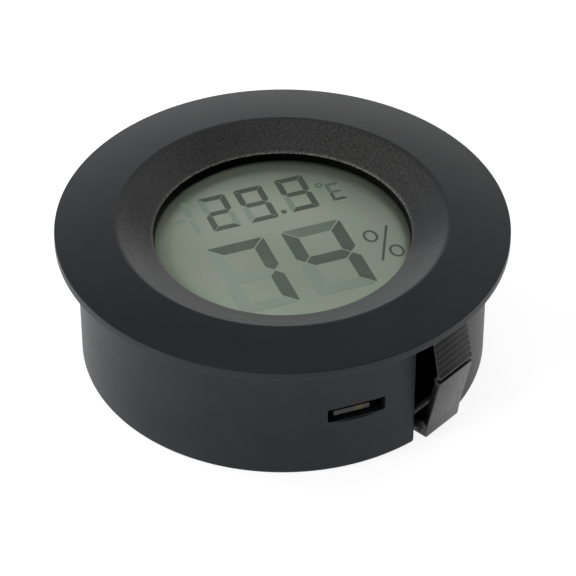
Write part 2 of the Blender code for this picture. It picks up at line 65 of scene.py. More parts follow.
# Clips
CLIP_ANGLE = math.radians(27.5)
PIVOT_RADIUS = 19.9 * MM
PIVOT_Z = 1.2 * MM
CLIP_WIDTH = 5.0 * MM
NOTCH_WIDTH = 6.9 * MM
NOTCH_TOP_Z = 14.0 * MM
RIB_COUNT = 7

# Sensor slot
SLOT_WIDTH = 6.1 * MM
SLOT_LOW_Z = 6.45 * MM
SLOT_HIGH_Z = 8.1 * MM
SENSOR_FRONT_Y = -19.4 * MM        # front of the plate, behind the nose

# Display
FACE_HALF_WIDTH = 13.4 * MM
FACE_CORNER = 4.0 * MM
INK_THICKNESS = 0.012 * MM
PAINTED_LIGHT_SIDE_X = -11.5 * MM           # painted light: the display's tone is lifted here
PAINTED_SHADE_SIDE_X = 10.5 * MM            # and lowered here, as painted shade
PAINTED_LIGHT_LIFT = 1.30
PAINTED_SHADE_LIFT = 0.87

# View of the camera: from the front, turned to the left of the display's upright
VIEW_AZIMUTH = math.radians(-20.5)
VIEW_ELEVATION = math.radians(38.4)
CAMERA_DISTANCE = 305.4 * MM
CAMERA_LENS = 187.5                # millimetres, on a sensor of this width
CAMERA_SENSOR = 36.0
AIM_DOWN = 6.6 * MM
AIM_RIGHT = 0.55 * MM


# ---------------------------------------------------------------- node helpers

class Nodes:
    """Short calls for a material's node tree, with places in the object's own metres."""

    def __init__(self, name):
        self.material = bpy.data.materials.new(name)
        self.material.use_nodes = True
        self.tree = self.material.node_tree
        self.shader = self.tree.nodes["Principled BSDF"]
        self.place = self.add("ShaderNodeTexCoord").outputs["Object"]

    def add(self, kind, **values):
        """A node, with its properties set."""
        node = self.tree.nodes.new(kind)
        for key, value in values.items():
            setattr(node, key, value)
        return node

    def link(self, source, target):
        """Join a socket to an input."""
        self.tree.links.new(source, target)

    def noise(self, size, detail=3.0, roughness=0.6, place=None):
        """Noise whose features are about this size, in metres."""
        node = self.add("ShaderNodeTexNoise")
        node.inputs["Scale"].default_value = 1.0 / size
        node.inputs["Detail"].default_value = detail
        node.inputs["Roughness"].default_value = roughness
        self.link(place or self.place, node.inputs["Vector"])
        return node.outputs["Fac"]

    def remap(self, value, low, high, to_low, to_high, smooth=False):
        """The value carried from one range to another, and held at its ends."""
        node = self.add("ShaderNodeMapRange")
        node.interpolation_type = "SMOOTHSTEP" if smooth else "LINEAR"
        for key, number in (("From Min", low), ("From Max", high),
                            ("To Min", to_low), ("To Max", to_high)):
            node.inputs[key].default_value = number
        self.link(value, node.inputs["Value"])
        return node.outputs["Result"]

    def math(self, operation, first, second):
        """Arithmetic on two sockets or numbers."""
        node = self.add("ShaderNodeMath", operation=operation)
        for socket, value in zip(node.inputs, (first, second)):
            if isinstance(value, (int, float)):
                socket.default_value = value
            else:
                self.link(value, socket)
        return node.outputs[0]

    def blend(self, share, first, second):
        """Colour between two colours or sockets, by share."""
        node = self.add("ShaderNodeMix", data_type="RGBA")
        sockets = (node.inputs[0], node.inputs[6], node.inputs[7])
        for socket, value in zip(sockets, (share, first, second)):
            if isinstance(value, tuple):
                socket.default_value = (*value, 1.0)
            elif isinstance(value, float):
                socket.default_value = value
            else:
                self.link(value, socket)
        return node.outputs[2]

    def split(self):
        """The three coordinates of the place."""
        parts = self.add("ShaderNodeSeparateXYZ")
        self.link(self.place, parts.inputs[0])
        return parts.outputs

    def radius(self):
        """Distance from the middle axis."""
        parts = self.split()
        across = self.math("MULTIPLY", parts[0], parts[0])
        along = self.math("MULTIPLY", parts[1], parts[1])
        return self.math("SQRT", self.math("ADD", across, along), 0.0)

    def bump(self, height, depth, strength=1.0, before=None):
        """Surface relief of this depth, in metres."""
        node = self.add("ShaderNodeBump")
        node.inputs["Distance"].default_value = depth
        if isinstance(strength, (int, float)):
            node.inputs["Strength"].default_value = strength
        else:
            self.link(strength, node.inputs["Strength"])
        self.link(height, node.inputs["Height"])
        if before is not None:
            self.link(before, node.inputs["Normal"])
        self.link(node.outputs["Normal"], self.shader.inputs["Normal"])
        return node.outputs["Normal"]

    def set(self, **values):
        """Plain numbers on the shader's own sockets."""
        for key, value in values.items():
            self.shader.inputs[key.replace("_", " ")].default_value = value

    def colour(self, socket):
        """Base colour from a socket."""
        self.link(socket, self.shader.inputs["Base Color"])

    def rough(self, socket):
        """Roughness from a socket."""
        self.link(socket, self.shader.inputs["Roughness"])


# ---------------------------------------------------------------- materials

def housing_plastic():
    """Satin black moulding, finely spark-eroded, coarser in the dish; painted glints and shade."""
    nodes = Nodes("housing_plastic")
    fine = nodes.noise(0.00012, detail=2.0)
    coarse = nodes.noise(0.00030, detail=3.0)
    cloud = nodes.noise(0.006, detail=4.0)
    parts = nodes.split()
    above_lip = nodes.remap(parts[2], 0.01412, 0.01418, 0.0, 1.0)
    dish = nodes.remap(nodes.radius(), 0.0163, 0.0175, 1.0, 0.0, smooth=True)
    tone = nodes.blend(nodes.remap(cloud, 0.35, 0.65, 0.0, 1.0), (0.0112, 0.0126, 0.0150),
                       (0.0150, 0.0164, 0.0188))
    # painted highlights: glints painted into the dish's colour, stronger towards the far side where
    # light falls on it
    sparks = nodes.noise(0.00019, detail=1.0)
    far_side_painted_light = nodes.remap(parts[1], -0.008, 0.008, 0.15, 1.5, smooth=True)
    painted_glints = nodes.math("MULTIPLY", nodes.remap(sparks, 0.35, 0.75, 0.10, 1.0), far_side_painted_light)
    tone = nodes.blend(nodes.math("MULTIPLY", nodes.math("MULTIPLY", painted_glints, dish), 0.8), tone,
                       (0.058, 0.056, 0.053))
    # painted highlight: a bright line along the window lip, above the wall, made from the painted
    # glints
    lip = nodes.remap(nodes.radius(), 0.0132, 0.0136, 1.0, 0.0, smooth=True)
    painted_lip_highlight = nodes.math("MULTIPLY", nodes.math("MULTIPLY", lip, painted_glints), above_lip)
    tone = nodes.blend(painted_lip_highlight, tone, (0.22, 0.215, 0.20))
    # painted shade: the window wall below the lip is painted near-black, and its specular is turned
    # down
    wall = nodes.math("MULTIPLY", nodes.math("SUBTRACT", 1.0, above_lip),
                      nodes.remap(nodes.radius(), 0.01335, 0.0140, 1.0, 0.0))
    nodes.colour(nodes.blend(wall, tone, (0.0020, 0.0020, 0.0022)))
    plain = nodes.remap(coarse, 0.3, 0.7, 0.40, 0.47)
    nodes.rough(nodes.math("SUBTRACT", plain, nodes.math("MULTIPLY", dish, 0.02)))
    grain = nodes.bump(coarse, 0.00004, nodes.remap(dish, 0.0, 1.0, 0.10, 0.55))
    nodes.bump(fine, 0.00002, nodes.remap(dish, 0.0, 1.0, 0.10, 0.7), before=grain)
    # painted shade: the specular level falls towards the bottom, for the shade of the floor near
    # the base
    sheen_with_painted_shade = nodes.remap(parts[2], 0.0, 0.0150, 0.18, 0.29)
    bare = nodes.math("SUBTRACT", 1.0, nodes.math("MULTIPLY", wall, 0.9))
    nodes.link(nodes.math("MULTIPLY", sheen_with_painted_shade, bare), nodes.shader.inputs["Specular IOR Level"])
    nodes.set(IOR=1.48)
    return nodes.material


def clip_plastic():
    """Slightly glossier black of the snap clips, with faint drag marks from a panel edge."""
    nodes = Nodes("clip_plastic")
    stretch = nodes.add("ShaderNodeMapping")
    stretch.inputs["Scale"].default_value = (1.0, 1.0, 0.08)
    nodes.link(nodes.place, stretch.inputs["Vector"])
    drag = nodes.noise(0.00022, detail=2.0, place=stretch.outputs["Vector"])
    cloud = nodes.noise(0.002, detail=3.0)
    nodes.colour(nodes.blend(nodes.remap(cloud, 0.35, 0.65, 0.0, 1.0), (0.014, 0.014, 0.015),
                             (0.020, 0.020, 0.021)))
    nodes.rough(nodes.remap(drag, 0.35, 0.7, 0.30, 0.42))
    nodes.bump(nodes.noise(0.00015), 0.00002, 0.18)
    nodes.set(IOR=1.48)
    return nodes.material


def cover_plastic():
    """Matt black of the rear cover and door, coarser than the front, with painted shade inside."""
    nodes = Nodes("cover_plastic")
    grain = nodes.noise(0.00025, detail=3.0)
    cloud = nodes.noise(0.008, detail=4.0)
    tone = nodes.blend(nodes.remap(cloud, 0.35, 0.65, 0.0, 1.0), (0.014, 0.014, 0.015),
                       (0.021, 0.021, 0.022))
    parts = nodes.split()
    # painted shade: above 1.1 to 1.5 mm, inside the housing, the colour goes near-black and the
    # specular drops
    inner = nodes.remap(parts[2], 0.0011, 0.0015, 0.0, 1.0)
    nodes.colour(nodes.blend(inner, tone, (0.002, 0.002, 0.002)))
    nodes.link(nodes.remap(inner, 0.0, 1.0, 0.4, 0.03), nodes.shader.inputs["Specular IOR Level"])
    nodes.rough(nodes.remap(grain, 0.3, 0.7, 0.46, 0.58))
    nodes.bump(grain, 0.00004, 0.4)
    nodes.set(IOR=1.48)
    return nodes.material


def button_plastic():
    """Dark grey button, polished a little where fingers press it."""
    nodes = Nodes("button_plastic")
    cloud = nodes.noise(0.0012, detail=3.0)
    nodes.colour(nodes.blend(nodes.remap(cloud, 0.35, 0.65, 0.0, 1.0), (0.050, 0.050, 0.054),
                             (0.068, 0.068, 0.072)))
    nodes.rough(nodes.remap(cloud, 0.3, 0.7, 0.38, 0.52))
    nodes.bump(nodes.noise(0.00012), 0.00002, 0.3)
    return nodes.material


def painted_light_across_display(nodes, colour):
    """The colour with painted light and shade: paler towards 9 o'clock, darker towards 3 o'clock.

    A fixed gradient, in place of the way the light on a real display changes with the angle it is
    seen from. It is right for this camera only.
    """
    parts = nodes.split()
    lift = nodes.add("ShaderNodeVectorMath", operation="SCALE")
    nodes.link(colour, lift.inputs[0])
    nodes.link(nodes.remap(parts[0], PAINTED_LIGHT_SIDE_X, PAINTED_SHADE_SIDE_X, PAINTED_LIGHT_LIFT, PAINTED_SHADE_LIFT),
               lift.inputs["Scale"])
    return lift.outputs["Vector"]


def display_film():
    """Matt grey-green face of the display, with the faint unevenness of its reflector."""
    nodes = Nodes("display_film")
    sparkle = nodes.noise(0.00009, detail=2.0)
    cloud = nodes.noise(0.0045, detail=2.0, roughness=0.4)
    base = nodes.blend(nodes.remap(cloud, 0.35, 0.65, 0.0, 1.0), (0.352, 0.432, 0.338),
                       (0.390, 0.430, 0.350))
    grain = nodes.remap(sparkle, 0.3, 0.7, 0.0, 1.0)
    # painted light and shade: the film's colour is paler towards 9 o'clock and darker towards 3
    # o'clock
    nodes.colour(painted_light_across_display(nodes, nodes.blend(nodes.math("MULTIPLY", grain, 0.16), base,
                                                   (0.292, 0.348, 0.280))))
    nodes.rough(nodes.remap(sparkle, 0.3, 0.7, 0.42, 0.50))
    nodes.bump(sparkle, 0.00001, 0.15)
    nodes.set(IOR=1.45, Specular_IOR_Level=0.25, Metallic=0.8)
    return nodes.material


def segment_ink(name, tone, edge):
    """A display segment: a flat tone with the display's own grain through it."""
    nodes = Nodes(name)
    sparkle = nodes.noise(0.00009, detail=2.0)
    cloud = nodes.noise(0.0016, detail=2.0)
    share = nodes.math("ADD", nodes.remap(cloud, 0.35, 0.65, 0.0, 0.6),
                       nodes.remap(sparkle, 0.3, 0.7, 0.0, 0.4))
    # painted light and shade: the ink's colour follows the same gradient as the film
    nodes.colour(painted_light_across_display(nodes, nodes.blend(share, tone, edge)))
    nodes.rough(nodes.remap(sparkle, 0.3, 0.7, 0.42, 0.50))
    nodes.set(IOR=1.45, Specular_IOR_Level=0.25, Metallic=0.8)
    return nodes.material


def clear_glass():
    """Display glass: faintly green, seen only at its ground edges."""
    nodes = Nodes("display_glass")
    ground = nodes.noise(0.0002)
    nodes.colour(nodes.blend(nodes.remap(ground, 0.3, 0.7, 0.0, 1.0), (0.42, 0.50, 0.46),
                             (0.50, 0.57, 0.53)))
    nodes.rough(nodes.remap(ground, 0.3, 0.7, 0.05, 0.18))
    nodes.set(IOR=1.52, Transmission_Weight=0.6)
    return nodes.material


def nickel(name="nickel", tone=(0.60, 0.60, 0.58), size=0.00025):
    """Nickel plate with fine turning marks and dull spots."""
    nodes = Nodes(name)
    marks = nodes.noise(size, detail=4.0)
    spots = nodes.noise(0.0015, detail=3.0)
    darker = tuple(0.78 * part for part in tone)
    nodes.colour(nodes.blend(nodes.remap(spots, 0.35, 0.7, 0.0, 1.0), tone, darker))
    nodes.rough(nodes.remap(marks, 0.3, 0.7, 0.18, 0.36))
    nodes.bump(marks, 0.00001, 0.2)
    nodes.set(Metallic=1.0)
    return nodes.material


def solder_mask():
    """Dark green board with the pattern of its tracks just showing."""
    nodes = Nodes("solder_mask")
    tracks = nodes.add("ShaderNodeTexBrick", offset=0.5)
    tracks.inputs["Scale"].default_value = 420.0
    tracks.inputs["Mortar Size"].default_value = 0.09
    tracks.inputs["Color1"].default_value = (0.008, 0.038, 0.018, 1.0)
    tracks.inputs["Color2"].default_value = (0.010, 0.045, 0.021, 1.0)
    tracks.inputs["Mortar"].default_value = (0.020, 0.080, 0.036, 1.0)
    nodes.link(nodes.place, tracks.inputs["Vector"])
    nodes.colour(tracks.outputs["Color"])
    nodes.rough(nodes.remap(nodes.noise(0.0006), 0.3, 0.7, 0.22, 0.38))
    nodes.bump(tracks.outputs["Fac"], 0.00003, 0.4)
    return nodes.material


def speckled(name, dark, light, size, low_rough, high_rough, depth=0.00002):
    """A two-tone moulded or fired surface, for the small inner pieces."""
    nodes = Nodes(name)
    grain = nodes.noise(size, detail=3.0)
    nodes.colour(nodes.blend(nodes.remap(grain, 0.35, 0.65, 0.0, 1.0), dark, light))
    nodes.rough(nodes.remap(grain, 0.3, 0.7, low_rough, high_rough))
    nodes.bump(grain, depth, 0.3)
    return nodes.material


def sensor_ceramic():
    """Pale sensor plate with a yellowish sensing film in its middle and comb electrodes."""
    nodes = Nodes("sensor_ceramic")
    parts = nodes.split()
    from_middle = nodes.math("ABSOLUTE", nodes.math("SUBTRACT", parts[0], 0.0003), 0.0)
    film = nodes.remap(from_middle, 0.0002, 0.0009, 1.0, 0.0, smooth=True)
    comb = nodes.add("ShaderNodeTexWave")
    comb.inputs["Scale"].default_value = 900.0
    nodes.link(nodes.place, comb.inputs["Vector"])
    plate = nodes.blend(nodes.remap(comb.outputs["Fac"], 0.3, 0.8, 0.0, 0.25),
                        (0.022, 0.023, 0.020), (0.014, 0.014, 0.013))
    nodes.colour(nodes.blend(film, plate, (0.060, 0.048, 0.012)))
    nodes.rough(nodes.remap(nodes.noise(0.0002), 0.3, 0.7, 0.35, 0.55))
    nodes.bump(comb.outputs["Fac"], 0.00002, 0.3)
    return nodes.material


def floor_white():
    """Pale sweep, a little brighter than it is lit so that it stays white."""
    nodes = Nodes("floor_white")
    soft = nodes.noise(0.2)
    nodes.colour(nodes.blend(nodes.remap(soft, 0.3, 0.7, 0.0, 1.0), (0.33, 0.33, 0.33),
                             (0.36, 0.36, 0.36)))
    nodes.set(Roughness=0.9, Specular_IOR_Level=0.1, Emission_Strength=FLOOR_GLOW,
              Emission_Color=(1.0, 1.0, 1.0, 1.0))
    return nodes.material


# ---------------------------------------------------------------- mesh helpers

def rounded(corners, closed=True):
    """Outline through corners (across, along, radius), each rounded with an arc."""
    points = []
    count = len(corners)
    for index, (across, along, radius) in enumerate(corners):
        here = Vector((across, along))
        at_end = not closed and index in (0, count - 1)
        if radius <= 0 or at_end:
            points.append(here)
            continue
        before = (Vector(corners[index - 1][:2]) - here).normalized()
        after = (Vector(corners[(index + 1) % count][:2]) - here).normalized()
        half = before.angle(after) / 2
        reach = radius / math.tan(half)
        centre = here + (before + after).normalized() * (radius / math.sin(half))
        start = here + before * reach - centre
        end = here + after * reach - centre
        sweep = start.angle_signed(end)
        steps = max(3, min(14, round(abs(sweep) / math.radians(9))))
        for step in range(steps + 1):
            turned = start.copy()
            turned.rotate(Matrix.Rotation(-sweep * step / steps, 2))
            points.append(centre + turned)
    return points


def new_piece(name, mesh, material):
    """An object for a mesh, with its material."""
    piece = bpy.data.objects.new(name, mesh)
    bpy.context.scene.collection.objects.link(piece)
    mesh.materials.clear()
    mesh.materials.append(material)
    return piece


def finish_piece(piece, degrees=32.0):
    """Apply the piece's modifiers, then shade it smooth with its sharp edges kept."""
    bpy.context.view_layer.update()
    evaluated = piece.evaluated_get(bpy.context.evaluated_depsgraph_get())
    mesh = bpy.data.meshes.new_from_object(evaluated)
    piece.modifiers.clear()
    piece.data = mesh
    mesh.shade_smooth()
    mesh.set_sharp_from_angle(angle=math.radians(degrees))
    return piece


def add_bevel(piece, width, segments=2, degrees=35.0):
    """Round the sharp edges of a piece."""
    bevel = piece.modifiers.new("Bevel", "BEVEL")
    bevel.width = width
    bevel.segments = segments
    bevel.limit_method = "ANGLE"
    bevel.angle_limit = math.radians(degrees)
    bevel.use_clamp_overlap = True
    bevel.harden_normals = False
    return bevel


def cut(piece, mesh, operation="DIFFERENCE"):
    """Cut a piece with a closed mesh, or join the mesh to it, at once."""
    tool = bpy.data.objects.new("tool", mesh)
    bpy.context.scene.collection.objects.link(tool)
    step = piece.modifiers.new("Cut", "BOOLEAN")
    step.operation = operation
    step.object = tool
    finish_piece(piece)
    bpy.data.objects.remove(tool, do_unlink=True)


def lathe(name, outline, segments, material, turn=0.0):
    """A solid of revolution about Z from a closed outline of (radius, height)."""
    shape = bmesh.new()
    rings = []
    for number in range(segments):
        angle = turn + 2 * math.pi * number / segments
        direction = Vector((math.cos(angle), math.sin(angle), 0.0))
        rings.append([shape.verts.new(direction * radius + Vector((0, 0, height)))
                      for radius, height in outline])
    for number in range(segments):
        here, there = rings[number], rings[(number + 1) % segments]
        for index in range(len(outline)):
            following = (index + 1) % len(outline)
            shape.faces.new((here[index], there[index], there[following], here[following]))
    bmesh.ops.remove_doubles(shape, verts=shape.verts, dist=1e-7)
    bmesh.ops.dissolve_degenerate(shape, edges=shape.edges, dist=1e-7)
    bmesh.ops.recalc_face_normals(shape, faces=shape.faces)
    mesh = bpy.data.meshes.new(name)
    shape.to_mesh(mesh)
    shape.free()
    return new_piece(name, mesh, material)


def prism(points, low, high):
    """A flat outline thickened from low to high along its normal."""
    shape = bmesh.new()
    bottom = [shape.verts.new((across, along, low)) for across, along in points]
    top = [shape.verts.new((across, along, high)) for across, along in points]
    shape.faces.new(bottom)
    shape.faces.new(top)
    count = len(points)
    for index in range(count):
        following = (index + 1) % count
        shape.faces.new((bottom[index], bottom[following], top[following], top[index]))
    bmesh.ops.recalc_face_normals(shape, faces=shape.faces)
    mesh = bpy.data.meshes.new("prism")
    shape.to_mesh(mesh)
    shape.free()
    return mesh


def rectangle(low, high, radius=0.0):
    """Corners of a rectangle, for rounded()."""
    return [(low[0], low[1], radius), (high[0], low[1], radius), (high[0], high[1], radius),
            (low[0], high[1], radius)]


def clip_frame(angle):
    """Place for a clip: X outwards, Y up, Z along the flexing axis."""
    outward = Vector((math.sin(angle), -math.cos(angle), 0.0))
    up = Vector((0.0, 0.0, 1.0))
    along = outward.cross(up)
    turn = Matrix((outward, up, along)).transposed().to_4x4()
    return Matrix.Translation(outward * PIVOT_RADIUS + up * PIVOT_Z) @ turn


def seat(piece, body, slot, *nodes):
    """Join a piece to its body and hide the nodes that it stands for; the slot is not used."""
    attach(piece, body)
    if nodes:
        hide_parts(*nodes)
    return piece


# ---------------------------------------------------------------- housing

def housing_outline():
    """Section of the housing: flange, soft ridge, dish, window wall, side wall."""
    return rounded([
        (WINDOW_RADIUS, CEILING_Z, 0.05 * MM),
        (LIP_RADIUS, LIP_Z, 0.10 * MM),
        (14.6 * MM, 14.78 * MM, 3.0 * MM),
        (RIDGE_RADIUS - 0.15 * MM, TOP_Z + 0.030 * MM, 1.0 * MM),
        (FLANGE_RADIUS, RIM_TOP_Z + 0.02 * MM, 0.09 * MM),
        (FLANGE_RADIUS, FLANGE_UNDER_Z, 0.05 * MM),
        (BODY_RADIUS, FLANGE_UNDER_Z, 0.15 * MM),
        (BODY_RADIUS, 11.0 * MM, 0.0),
        (BODY_RADIUS, 7.0 * MM, 0.0),
        (BODY_RADIUS, 3.0 * MM, 0.0),
        (BODY_RADIUS, 0.0, 0.40 * MM),
        (WALL_INNER_RADIUS, 0.0, 0.12 * MM),
        (WALL_INNER_RADIUS, POCKET_CEILING_Z, 0.2 * MM),
        (POCKET_INNER_RADIUS, POCKET_CEILING_Z, 0.1 * MM),
        (POCKET_INNER_RADIUS, CEILING_Z, 0.1 * MM),
    ])


def make_housing(material):
    """Front housing with its slot and stepped clip notches."""
    piece = lathe("housing", housing_outline(), 240, material, math.radians(0.4))
    turn = Matrix.Rotation(math.radians(90), 4, "X")
    for margin, far, depth in ((0.0, 24.0 * MM, 19.0 * MM), (0.16 * MM, 24.0 * MM, 20.88 * MM)):
        outline = rounded(rectangle((-SLOT_WIDTH / 2 - margin, SLOT_LOW_Z - margin),
                                    (SLOT_WIDTH / 2 + margin, SLOT_HIGH_Z + margin), 0.22 * MM))
        slot = prism(outline, depth, far)
        slot.transform(turn)
        cut(piece, slot)
    for angle in (CLIP_ANGLE, CLIP_ANGLE + math.pi):
        for half, near in ((NOTCH_WIDTH / 2, 20.45 * MM), (NOTCH_WIDTH / 2 - 0.42 * MM, 18.9 * MM)):
            outline = rounded([(-half, -3 * MM, 0), (half, -3 * MM, 0),
                               (half, NOTCH_TOP_Z - PIVOT_Z, 0.35 * MM),
                               (-half, NOTCH_TOP_Z - PIVOT_Z, 0.35 * MM)])
            notch = prism(outline, near - PIVOT_RADIUS, 2.2 * MM)
            notch.transform(Matrix(((0, 0, 1, 0), (0, 1, 0, 0), (-1, 0, 0, 0), (0, 0, 0, 1))))
            notch.transform(clip_frame(angle))
            cut(piece, notch)
    return seat(piece, "case", "black_plastic", "front_housing")


# ---------------------------------------------------------------- clips

CLIP_TOP = Vector((22.2 * MM - PIVOT_RADIUS, 13.8 * MM - PIVOT_Z))
BARB = Vector((23.2 * MM - PIVOT_RADIUS, 9.1 * MM - PIVOT_Z))
RAMP_LOW = Vector((1.95 * MM, 1.0 * MM))
SKIN = 0.26 * MM                   # the outer skin is wider than the web behind it
WEB_INSET = 1.1 * MM


def skin_section():
    """Side view of a clip's outer skin: ribs, barb with its groove, ramp and foot."""
    step = (BARB - CLIP_TOP) / RIB_COUNT
    corners = [(*CLIP_TOP, 0.08 * MM)]
    for number in range(1, RIB_COUNT + 1):
        corners.append((*(CLIP_TOP + step * (number - 0.32)), 0.06 * MM))
        if number < RIB_COUNT:
            corners.append((*(CLIP_TOP + step * number - Vector((0.17 * MM, 0.0))), 0.05 * MM))
    corners += [
        (*BARB, 0.08 * MM),
        (BARB.x - 0.50 * MM, BARB.y - 0.05 * MM, 0.05 * MM),
        (BARB.x - 0.50 * MM, BARB.y - 0.38 * MM, 0.05 * MM),
        (BARB.x - 0.02 * MM, BARB.y - 0.45 * MM, 0.12 * MM),
        (*RAMP_LOW, 0.5 * MM),
        (1.70 * MM, -0.85 * MM, 0.45 * MM),
        (1.10 * MM, -0.85 * MM, 0.1 * MM),
        (RAMP_LOW.x - SKIN, RAMP_LOW.y - 0.4 * MM, 0.3 * MM),
        (BARB.x - 0.48 * MM, BARB.y - 1.30 * MM, 0.1 * MM),
        (BARB.x - 0.80 * MM, BARB.y - 0.55 * MM, 0.1 * MM),
        (BARB.x - 0.80 * MM, BARB.y - 0.10 * MM, 0.1 * MM),
        (BARB.x - 0.42 * MM, BARB.y + 0.45 * MM, 0.1 * MM),
        (CLIP_TOP.x - SKIN, CLIP_TOP.y, 0.1 * MM),
    ]
    return rounded(corners)


def web_section():
    """Side view of the web that stiffens the skin from behind, down to the pivot."""
    return rounded([
        (CLIP_TOP.x - 0.2 * MM, CLIP_TOP.y - 0.1 * MM, 0.0),
        (BARB.x - 0.7 * MM, BARB.y, 0.0),
        (RAMP_LOW.x - 0.2 * MM, RAMP_LOW.y, 0.3 * MM),
        (1.4 * MM, -0.8 * MM, 0.2 * MM),
        (-0.6 * MM, -0.8 * MM, 0.5 * MM),
        (-0.8 * MM, 0.6 * MM, 0.5 * MM),
        (0.6 * MM, 0.95 * MM, 0.3 * MM),
        (BARB.x - 1.2 * MM, BARB.y, 0.8 * MM),
        (CLIP_TOP.x - 1.2 * MM, CLIP_TOP.y - 0.1 * MM, 0.2 * MM),
    ])


def foot_section():
    """Side view of the foot, as wide as the skin."""
    return rounded([(1.2 * MM, 1.3 * MM, 0.2 * MM), (1.80 * MM, 0.9 * MM, 0.2 * MM),
                    (1.62 * MM, -0.8 * MM, 0.4 * MM), (-0.6 * MM, -0.8 * MM, 0.5 * MM),
                    (-0.8 * MM, 0.6 * MM, 0.6 * MM)])


def face_outline():
    """A clip seen from outside: square at the top, its two lower corners well rounded."""
    half, low, high = CLIP_WIDTH / 2, -0.85 * MM, 13.0 * MM
    return rounded([(-half, low, 0.5 * MM), (half, low, 0.5 * MM),
                    (half, high, 0.0), (-half, high, 0.0)])


def make_clips(material):
    """Both snap clips, with bevelled edges."""
    half = CLIP_WIDTH / 2
    for name, node, angle in (("clip_right", "spring_clip_right", CLIP_ANGLE),
                              ("clip_left", "spring_clip_left", CLIP_ANGLE + math.pi)):
        shape = bmesh.new()
        for section, reach in ((skin_section(), half), (web_section(), half - WEB_INSET),
                               (foot_section(), half - 0.02 * MM)):
            layer = new_piece(name, prism(section, -reach, reach), material)
            face = prism(face_outline(), -1.5 * MM, 4.0 * MM)
            face.transform(Matrix(((0, 0, 1, 0), (0, 1, 0, 0), (-1, 0, 0, 0), (0, 0, 0, 1))))
            cut(layer, face, "INTERSECT")
            shape.from_mesh(layer.data)
            bpy.data.objects.remove(layer, do_unlink=True)
        mesh = bpy.data.meshes.new(name)
        shape.to_mesh(mesh)
        shape.free()
        mesh.transform(clip_frame(angle))
        piece = new_piece(f"{name}_piece", mesh, material)
        add_bevel(piece, 0.09 * MM, 2, 50.0)
        finish_piece(piece)
        seat(piece, name, "black_plastic", node)


# ---------------------------------------------------------------- display

def digit_shapes(left, right, low, high, thick, gap):
    """The seven segments of a digit, as outlines by letter, with mitred and pointed ends."""
    middle, half = (low + high) / 2, thick / 2
    soft = thick * 0.07
    shapes = {}
    for letter, outer, sign in (("a", high, -1), ("d", low, 1)):
        inner = outer + sign * thick
        shapes[letter] = [(left + gap, outer), (right - gap, outer), (right - gap - thick, inner),
                          (left + gap + thick, inner)]
    shapes["g"] = [(left + half + gap, middle), (left + thick + gap, middle + half),
                   (right - thick - gap, middle + half), (right - half - gap, middle),
                   (right - thick - gap, middle - half), (left + thick + gap, middle - half)]
    for letter, outer, turn, sign in (("f", left, 1, 1), ("b", right, -1, 1),
                                      ("e", left, 1, -1), ("c", right, -1, -1)):
        end = high if sign > 0 else low
        inner = outer + turn * thick
        shapes[letter] = [(outer, end - sign * gap), (inner, end - sign * (thick + gap)),
                          (inner, middle + sign * (half + gap)),
                          ((outer + inner) / 2, middle + sign * gap),
                          (outer, middle + sign * (half + gap))]
    return {letter: [tuple(point) for point in rounded([(*corner, soft) for corner in outline])]
            for letter, outline in shapes.items()}


def ring(centre, reach_x, reach_y, stroke, steps=32):
    """An oval ring, as its outer and inner outlines."""
    outlines = []
    for shrink in (0.0, stroke):
        outlines.append([(centre[0] + (reach_x - shrink) * math.cos(2 * math.pi * step / steps),
                          centre[1] + (reach_y - shrink) * math.sin(2 * math.pi * step / steps))
                         for step in range(steps)])
    return outlines


def bar(start, end, stroke):
    """A straight stroke between two points."""
    start, end = Vector(start), Vector(end)
    side = (end - start).normalized().orthogonal() * stroke / 2
    return [tuple(start + side), tuple(start - side), tuple(end - side), tuple(end + side)]


def flat_inks(name, shapes, rings, low, high, material):
    """Thin raised shapes on the display, all of one tone."""
    shape = bmesh.new()
    for outline in shapes:
        bottom = [shape.verts.new((across * MM, along * MM, low)) for across, along in outline]
        top = [shape.verts.new((across * MM, along * MM, high)) for across, along in outline]
        faces = [shape.faces.new(bottom), shape.faces.new(top)]
        for index in range(len(outline)):
            following = (index + 1) % len(outline)
            faces.append(shape.faces.new((bottom[index], bottom[following],
                                          top[following], top[index])))
        bmesh.ops.recalc_face_normals(shape, faces=faces)
    for outer, inner in rings:
        levels = [[shape.verts.new((across * MM, along * MM, height)) for across, along in outline]
                  for outline in (outer, inner) for height in (low, high)]
        order = (0, 1, 3, 2)
        faces = []
        for index in range(len(outer)):
            following = (index + 1) % len(outer)
            for position in range(4):
                here, there = levels[order[position]], levels[order[(position + 1) % 4]]
                faces.append(shape.faces.new((here[index], here[following],
                                              there[following], there[index])))
        bmesh.ops.recalc_face_normals(shape, faces=faces)
    mesh = bpy.data.meshes.new(name)
    shape.to_mesh(mesh)
    shape.free()
    return seat(new_piece(name, mesh, material), "case", "display_film")


